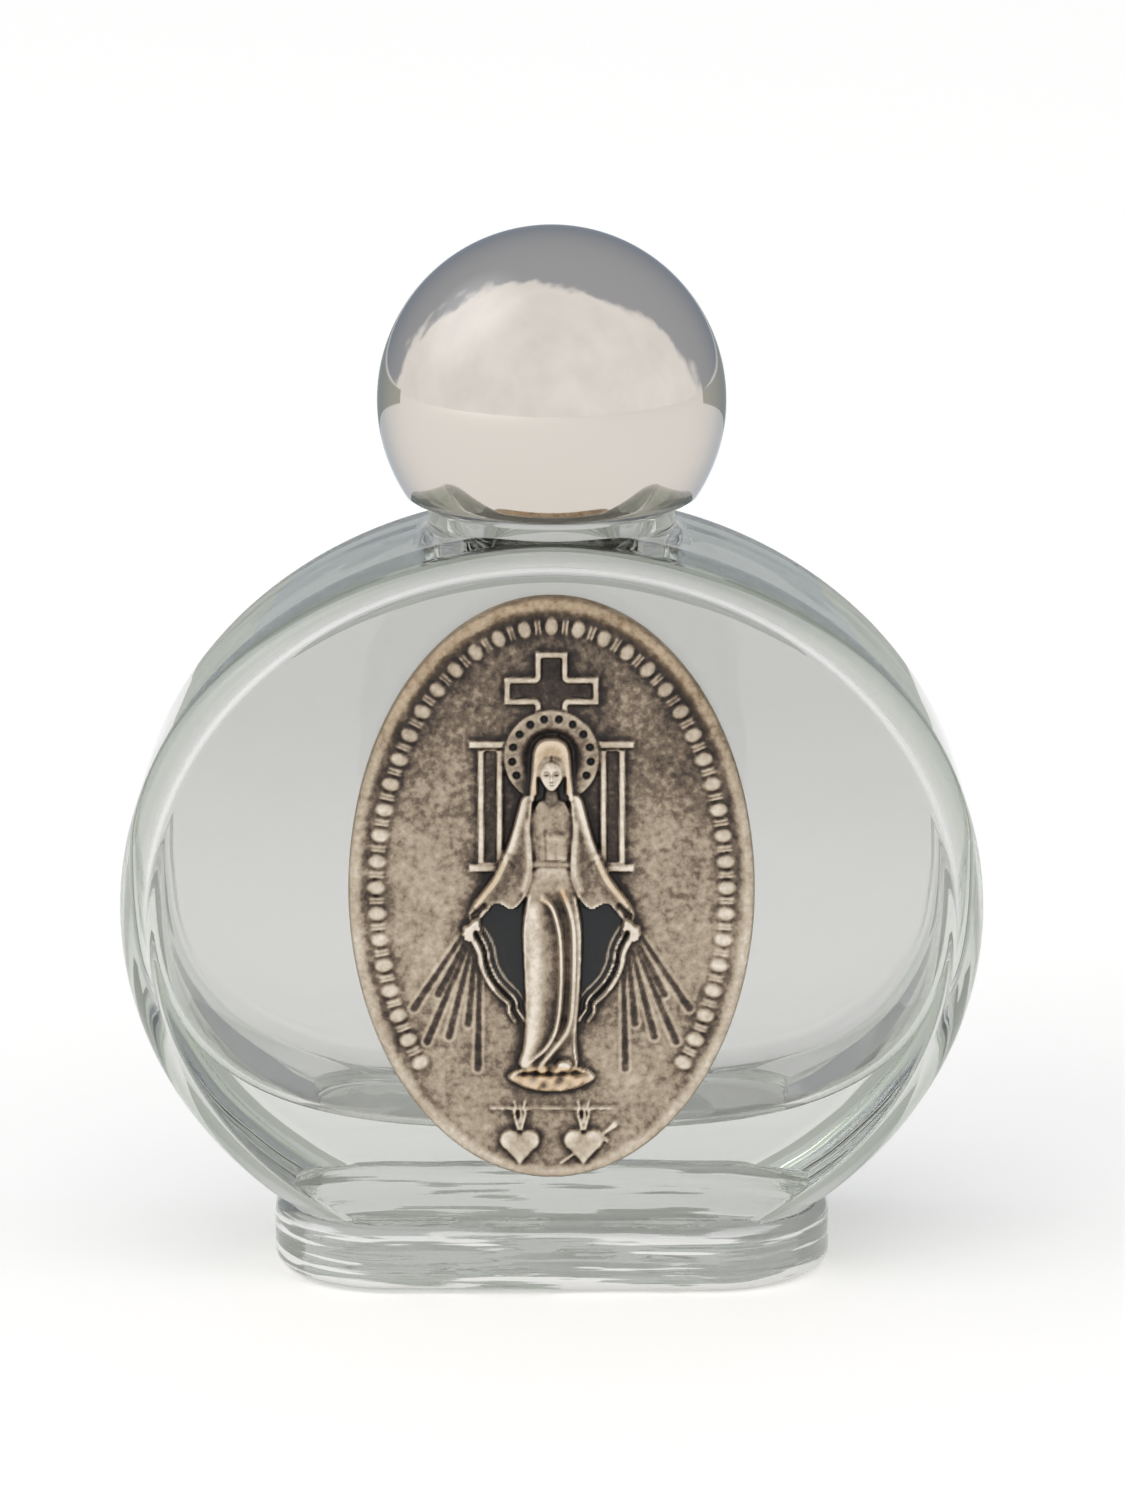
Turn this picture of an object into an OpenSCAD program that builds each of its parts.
// Holy water bottle: an oval clear glass flask on a flat foot, with a ball screw cap
// and a struck oval medal on its front. Millimetres, +Z up, the medal faces -Y.
// The origin is the middle of the foot's underside.

/* [Bottle body] */
// Width of the oval body
body_w = 56; // [52:0.5:60]
// Full height of the oval that the body is cut from
body_h = 50; // [48:0.2:53]
// Depth between the flat front and back faces
body_d = 20; // [18:0.5:22]
// Radius that the sides round off with towards the flat faces
body_edge_r = 4.6; // [4.3:0.1:6]
// Distance from each flat face at which that rounding starts
body_edge_d = 3.7; // [2.5:0.1:4]
// Height of the middle of the oval above the table
body_mid_z = 24.2; // [23.4:0.1:25.2]

/* [Bottle cavity] */
// Glass left at the sides and the shoulder
side_wall = 1.9; // [1.7:0.1:2.8]
// Glass left behind the flat faces
face_wall = 3; // [2.4:0.1:3.6]
// Height of the cavity floor, a heavy glass base below it
floor_z = 9.8; // [6:0.2:13]
// Rounding of the cavity where its faces meet its sides
cavity_edge_r = 1.2; // [0.8:0.1:3]
// Squareness of the lower half of the cavity, 2 for a plain oval
cavity_low_power = 3.1; // [2:0.1:4]
// Squareness of the upper half of the cavity
cavity_high_power = 1.85; // [1.7:0.05:2.1]

/* [Foot] */
// Width of the foot
foot_w = 36.5; // [32:0.5:42]
// Depth of the foot
foot_d = 24; // [22:0.5:28]
// Height of the foot
foot_h = 4.3; // [3:0.1:6]
// Radius of the foot's corners seen from above
foot_corner_r = 8; // [5:0.5:10]
// Rounding of the foot's top and bottom edges
foot_edge_r = 0.9; // [0.4:0.1:1.4]

/* [Neck] */
// Diameter of the collar that shows under the cap
collar_d = 16; // [14.6:0.1:16.4]
// Height of the collar above the top of the oval
collar_h = 0.7; // [0.2:0.1:1.4]
// Diameter of the neck inside the cap
neck_d = 12.6; // [11.4:0.1:13]
// Height of the neck above the collar
neck_h = 7.6; // [6:0.1:8.4]
// Diameter of the bore through the neck
bore_d = 9; // [7.4:0.1:9.4]

/* [Cap] */
// Diameter of the ball
ball_d = 22.6; // [21.6:0.2:25]
// Diameter of the flat underside of the ball
ball_flat_d = 18.4; // [17.8:0.1:19]
// Gap between the collar and the cap
cap_gap = 0.2; // [0.1:0.05:0.6]
// Outside diameter of the threaded insert
insert_d = 16.6; // [16.2:0.1:16.8]
// Inside diameter of the threaded insert
insert_bore_d = 14.4; // [13.8:0.1:14.6]
// Thickness of the closed end of the insert
insert_end_t = 1.2; // [0.8:0.1:2]
// Number of grip ribs round the insert
insert_ribs = 16; // [8:2:24]
// Radius of each grip rib
rib_r = 0.3; // [0.2:0.05:0.4]
// Wall over the hollow in the top of the ball
ball_wall = 2; // [1.4:0.1:2.6]
// Width of the hollow in the top of the ball
hollow_d = 11; // [8:0.5:12]

/* [Seal plug] */
// Diameter of the plug's disc
plug_disc_d = 12.2; // [11:0.1:13.2]
// Thickness of the plug's disc
plug_disc_t = 1.1; // [0.8:0.1:1.6]
// Depth that the plug reaches into the neck
plug_depth = 4; // [3:0.1:5]
// Wall of the hollow plug
plug_wall = 0.9; // [0.6:0.1:1.4]

/* [Medal] */
// Width of the oval medal
medal_w = 26; // [23:0.2:29]
// Height of the oval medal
medal_h = 38.2; // [34:0.2:39]
// Thickness of the medal at its field
medal_t = 1.3; // [1:0.1:1.8]
// Height of the medal's middle above the table
medal_z = 26.8; // [26:0.1:27.2]
// Width of the raised rim
rim_w = 0.6; // [0.4:0.1:1]
// Height of the raised rim above the field
rim_h = 0.3; // [0.2:0.05:0.5]
// Beads in the border
bead_count = 41; // [21:2:51]
// Radius of a bead
bead_r = 0.5; // [0.35:0.05:0.6]
// Height of the standing figure above the field, at the robe
figure_h = 0.9; // [0.5:0.05:1.2]
// Height of the line ornaments above the field
line_h = 0.35; // [0.2:0.05:0.5]
// Width of the outline strokes
stroke_w = 0.48; // [0.35:0.01:0.6]
// Depth of the cut rays
ray_depth = 0.2; // [0.1:0.05:0.4]
// Thickness of the adhesive pad behind the medal
pad_t = 0.3; // [0.2:0.05:0.6]
// Margin between the edge of the pad and the edge of the medal
pad_margin = 1.2; // [0.6:0.1:2]

/* [Fits] */
// Radial clearance of a sliding or pressed plastic piece
fit_clear = 0.05; // [0.02:0.01:0.1]

/* [Hidden] */
$fn = 64;
body_top = body_mid_z + body_h / 2;
collar_top = body_top + collar_h;
lip_z = collar_top + neck_h;
cap_z = collar_top + cap_gap;
ball_mid_z = cap_z + sqrt(pow(ball_d / 2, 2) - pow(ball_flat_d / 2, 2));
insert_z = cap_z + 0.3;
insert_top = lip_z + plug_disc_t + insert_end_t;
socket_d = insert_d + 4 * fit_clear;
medal_back = -body_d / 2 - pad_t;
field_y = medal_back - medal_t;
border = [medal_w / 2 - 1.75, medal_h / 2 - 1.75];

// One point of a squared oval with its own squareness above and below the middle.
function oval_power(t) = sin(t) >= 0 ? cavity_high_power : cavity_low_power;
function eased(v, p) = sign(v) * pow(abs(v), 2 / p);
function oval_point(t, a, b) = [a * eased(cos(t), oval_power(t)), b * eased(sin(t), oval_power(t))];

// The cavity as rings from front to back, drawn in where the edges round off.
module cavity() {
  sides = 56;
  steps = 5;
  half_w = body_w / 2 - side_wall;
  top = body_top - side_wall;
  half_h = (top - floor_z) / 2;
  half_d = body_d / 2 - face_wall;
  turns = [for (i = [0:steps]) 90 - 90 * i / steps];
  front = [for (q = turns) [-(half_d - cavity_edge_r) - cavity_edge_r * sin(q), cavity_edge_r * (1 - cos(q))]];
  back = [for (i = [steps:-1:0]) [-front[i][0], front[i][1]]];
  rings = concat(front, back);
  count = len(rings);
  points = [for (r = rings, i = [0:sides - 1])
    let (p = oval_point(360 * i / sides, half_w - r[1], half_h - r[1]))
    [p[0], r[0], floor_z + half_h + p[1]]];
  walls = [for (j = [0:count - 2], i = [0:sides - 1])
    let (k = (i + 1) % sides)
    [j * sides + i, j * sides + k, (j + 1) * sides + k, (j + 1) * sides + i]];
  cap_a = [[for (i = [sides - 1:-1:0]) i]];
  cap_b = [[for (i = [0:sides - 1]) (count - 1) * sides + i]];
  polyhedron(points, concat(walls, cap_a, cap_b), convexity = 4);
}

// Half section of the flat round the body is turned from: each face keeps a crisp edge,
// because it cuts the rounding off before the two run into each other.
module body_section() {
  r = body_h / 2;
  straight = body_d - 2 * body_edge_d;
  intersection() {
    translate([0, -body_d / 2]) square([r, body_d]);
    union() {
      translate([0, -body_d / 2]) square([r - body_edge_r, body_d]);
      translate([0, -straight / 2]) square([r, straight]);
      for (s = [-1, 1])
        translate([r - body_edge_r, s * straight / 2]) circle(body_edge_r);
    }
  }
}

module oval_body() {
  translate([0, 0, body_mid_z])
    scale([body_w / body_h, 1, 1])
      rotate([90, 0, 0]) rotate_extrude($fn = 128) body_section();
}

// Section of the foot across a straight side of width w, edges rounded.
module foot_section(w) {
  translate([-w / 2 + foot_edge_r, 0]) square([w - 2 * foot_edge_r, foot_h]);
  translate([-w / 2, foot_edge_r]) square([w, foot_h - 2 * foot_edge_r]);
  for (s = [-1, 1], z = [foot_edge_r, foot_h - foot_edge_r])
    translate([s * (w / 2 - foot_edge_r), z]) circle(foot_edge_r);
}

// One corner of the foot, the same section turned.
module foot_corner() {
  rotate_extrude() intersection() {
    foot_section(2 * foot_corner_r);
    square([foot_corner_r, foot_h]);
  }
}

module foot() {
  x = foot_w / 2 - foot_corner_r;
  y = foot_d / 2 - foot_corner_r;
  for (i = [-1, 1], j = [-1, 1]) translate([i * x, j * y, 0]) foot_corner();
  translate([0, y, 0]) rotate([90, 0, 0]) linear_extrude(2 * y) foot_section(foot_w);
  translate([-x, 0, 0]) rotate([90, 0, 90]) linear_extrude(2 * x) foot_section(foot_d);
}

module neck_section() {
  root = 1.1;
  flare = [for (q = [0:15:90]) [collar_d / 2 + root * (1 - sin(q)), body_top - 1.3 + root * (1 - cos(q))]];
  polygon(concat(
    [[0, body_top - side_wall - 1], [collar_d / 2 + root, body_top - side_wall - 1]],
    flare,
    [
      [collar_d / 2, collar_top - 0.3], [collar_d / 2 - 0.3, collar_top],
      [neck_d / 2, collar_top], [neck_d / 2, lip_z - 0.4],
      [neck_d / 2 - 0.4, lip_z], [0, lip_z]
    ]));
}

module glass_bottle() {
  color([0.86, 0.92, 0.90, 0.55])
  difference() {
    union() {
      intersection() {
        oval_body();
        translate([-body_w, -body_d, 0]) cube([2 * body_w, 2 * body_d, 4 * body_h]);
      }
      foot();
      rotate_extrude() neck_section();
    }
    cavity();
    translate([0, 0, body_top - side_wall - 2]) cylinder(d = bore_d, h = lip_z);
  }
}

module seal_plug() {
  r = bore_d / 2 - fit_clear;
  color([0.93, 0.93, 0.90])
  rotate_extrude() polygon([
    [0, lip_z + plug_disc_t], [plug_disc_d / 2 - 0.2, lip_z + plug_disc_t],
    [plug_disc_d / 2, lip_z + plug_disc_t - 0.2], [plug_disc_d / 2, lip_z],
    [r, lip_z], [r, lip_z - plug_depth + 0.7], [r - 0.35, lip_z - plug_depth],
    [r - plug_wall, lip_z - plug_depth], [r - plug_wall, lip_z], [0, lip_z]
  ]);
}

module cap_insert() {
  color([0.90, 0.90, 0.88])
  difference() {
    union() {
      translate([0, 0, insert_z]) cylinder(d = insert_d, h = insert_top - insert_z);
      for (i = [0:insert_ribs - 1])
        rotate(360 * i / insert_ribs)
          translate([socket_d / 2 - rib_r - fit_clear / 2, 0, insert_z + 1.2])
            cylinder(r = rib_r, h = insert_top - insert_z - 1.2, $fn = 24);
    }
    translate([0, 0, insert_z - 1])
      cylinder(d = insert_bore_d, h = lip_z + plug_disc_t - insert_z + 1);
  }
}

module ball_section() {
  difference() {
    translate([0, ball_mid_z]) circle(d = ball_d, $fn = 96);
    translate([-ball_d, ball_mid_z - ball_d]) square([ball_d, 2 * ball_d]);
    translate([-1, cap_z - ball_d]) square([ball_d, ball_d]);
    translate([-1, cap_z - 1]) square([socket_d / 2 + 1, insert_top - cap_z + 1]);
    intersection() {
      translate([0, ball_mid_z]) circle(r = ball_d / 2 - ball_wall, $fn = 96);
      translate([-1, insert_top - 1]) square([hollow_d / 2 + 1, ball_d]);
    }
  }
}

module cap_shell() {
  color([0.80, 0.80, 0.82]) rotate_extrude($fn = 96) ball_section();
}

// Stands a flat drawing up on the front of the medal, reaching out by h.
module struck(y, h) {
  translate([0, y, medal_z]) rotate([90, 0, 0]) linear_extrude(h) children();
}

module oval(w, h) {
  scale([w / h, 1]) circle(d = h, $fn = 128);
}

module medal_adhesive() {
  color([0.85, 0.85, 0.82])
  struck(-body_d / 2, pad_t) oval(medal_w - 2 * pad_margin, medal_h - 2 * pad_margin);
}

module cross_outline(inset) {
  translate([-1.08 + inset, 9.6]) square([2.16 - 2 * inset, 5.9 - inset]);
  translate([-3.05 + inset, 11.9 + inset]) square([6.1 - 2 * inset, 1.96 - 2 * inset]);
}

// A plain column: an outlined shaft between a cap bar and a base bar.
module column_lines(side) {
  mirror([side < 0 ? 1 : 0, 0]) {
    translate([3.1, 1.9]) square([stroke_w, 7.6]);
    translate([4.3, 1.9]) square([stroke_w, 7.6]);
    translate([2.6, 9.2]) square([2.7, 0.55]);
    translate([2.6, 1.5]) square([2.7, 0.6]);
  }
}

module mantle_half() {
  polygon([
    [0, 9.8], [0.9, 9.5], [1.35, 8.7], [1.4, 7.0], [2.2, 5.7], [3.0, 3.2], [4.2, 0.6],
    [5.3, -1.5], [5.2, -2.5], [4.5, -4.3], [3.9, -5.8], [3.2, -7.0], [2.3, -8.5], [1.9, -7.4], [0, -7.0]
  ]);
}

module heart(side) {
  translate([side * 2.1, -16.9]) {
    for (s = [-1, 1]) translate([s * 0.55, 0.35]) circle(r = 0.7, $fn = 32);
    polygon([[-1.18, 0.1], [0, -1.3], [1.18, 0.1], [0, 0.9]]);
  }
}

// Six rays fanning down from each hand.
module ray_cuts() {
  fans = [[-37, 5.6], [-29, 4.6], [-22, 7.2], [-14, 6.4], [-6, 5.4], [2, 7.4]];
  for (s = [-1, 1], f = fans)
    translate([s * 5.4, -3.2]) rotate(-s * f[0])
      translate([-0.2, -f[1]]) square([0.4, f[1] - 0.9]);
}

// A row of beads round the edge, left open at the foot of the medal.
module border_beads() {
  span = 262;
  for (i = [0:bead_count - 1]) {
    t = 90 + span * (i / (bead_count - 1) - 0.5);
    translate([border[0] * cos(t), field_y + bead_r * 0.3, medal_z + border[1] * sin(t)])
      sphere(bead_r, $fn = 24);
  }
}

// Standing figure: mantle, a robe of five folds, head, hands and the mound it stands on.
module figure() {
  struck(field_y + 0.2, figure_h * 0.55 + 0.2) {
    mantle_half();
    mirror([1, 0]) mantle_half();
  }
  for (i = [-2:2])
    translate([i * 0.76, field_y - figure_h * 0.45, medal_z - 11.3])
      cylinder(r1 = 0.48, r2 = 0.36, h = 14.6 - 1.4 * abs(i), $fn = 24);
  translate([0, field_y - figure_h * 0.4, medal_z + 7.7]) sphere(0.95, $fn = 32);
  for (s = [-1, 1])
    translate([s * 5.0, field_y - figure_h * 0.4, medal_z - 2.2]) sphere(0.55, $fn = 24);
  struck(field_y + 0.3, figure_h * 0.6 + 0.3) translate([0, -12.3]) oval(5.6, 2.2);
}

// The blank: rim left standing round the field, rays cut into it.
module medal_blank() {
  difference() {
    struck(medal_back, medal_t + rim_h) oval(medal_w, medal_h);
    struck(field_y, 1) oval(medal_w - 2 * rim_w, medal_h - 2 * rim_w);
    struck(field_y + ray_depth, 1) ray_cuts();
  }
}

module halo_ring() {
  difference() {
    circle(3.05);
    circle(1.75);
    for (i = [0:11]) rotate(30 * i + 15) translate([2.42, 0]) circle(0.24, $fn = 16);
  }
}

module emblems() {
  struck(field_y + 0.1, line_h + 0.1) {
    difference() {
      cross_outline(0);
      cross_outline(stroke_w);
    }
    translate([0, 8.3]) halo_ring();
    for (s = [-1, 1]) column_lines(s);
    translate([-4, -14.6]) square([8, 0.32]);
    for (s = [-1, 1]) heart(s);
  }
}

module medal() {
  color([0.62, 0.58, 0.52])
  union() {
    union() {
      medal_blank();
      border_beads();
    }
    union() {
      emblems();
      figure();
    }
  }
}

glass_bottle();
seal_plug();
cap_insert();
cap_shell();
medal_adhesive();
medal();
